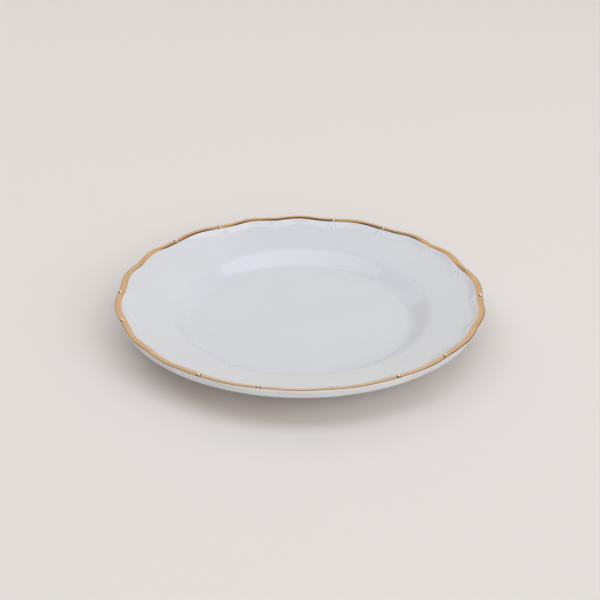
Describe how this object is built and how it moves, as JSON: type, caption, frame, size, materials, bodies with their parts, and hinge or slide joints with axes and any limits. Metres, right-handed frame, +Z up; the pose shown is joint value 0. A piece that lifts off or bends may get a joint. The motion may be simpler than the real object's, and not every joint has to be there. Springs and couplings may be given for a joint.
{
  "type": "dinner plate",
  "caption": "Round china dinner plate with a flat well, a wide flange, a turned-up scalloped and beaded border, a gilded lip and a foot ring.",
  "frame": {"origin": "middle of the foot ring's bearing plane, on the plate's axis, at the level of what the plate stands on", "axes": "+Z up along the plate's axis, +X towards a crest of the scalloped lip, +Y towards a valley of it"},
  "size_m": [0.2538, 0.2522, 0.0265],
  "materials": {
    "porcelain": "cool white porcelain under a clear gloss glaze, bare and matt on the foot ring's bearing face",
    "gilding": "polished fired gold, slightly rosy, brushed on over the glaze"
  },
  "bodies": {
    "root": {"porcelain_body": "porcelain", "gilded_rim_band": "gilding"}
  },
  "joints": []
}
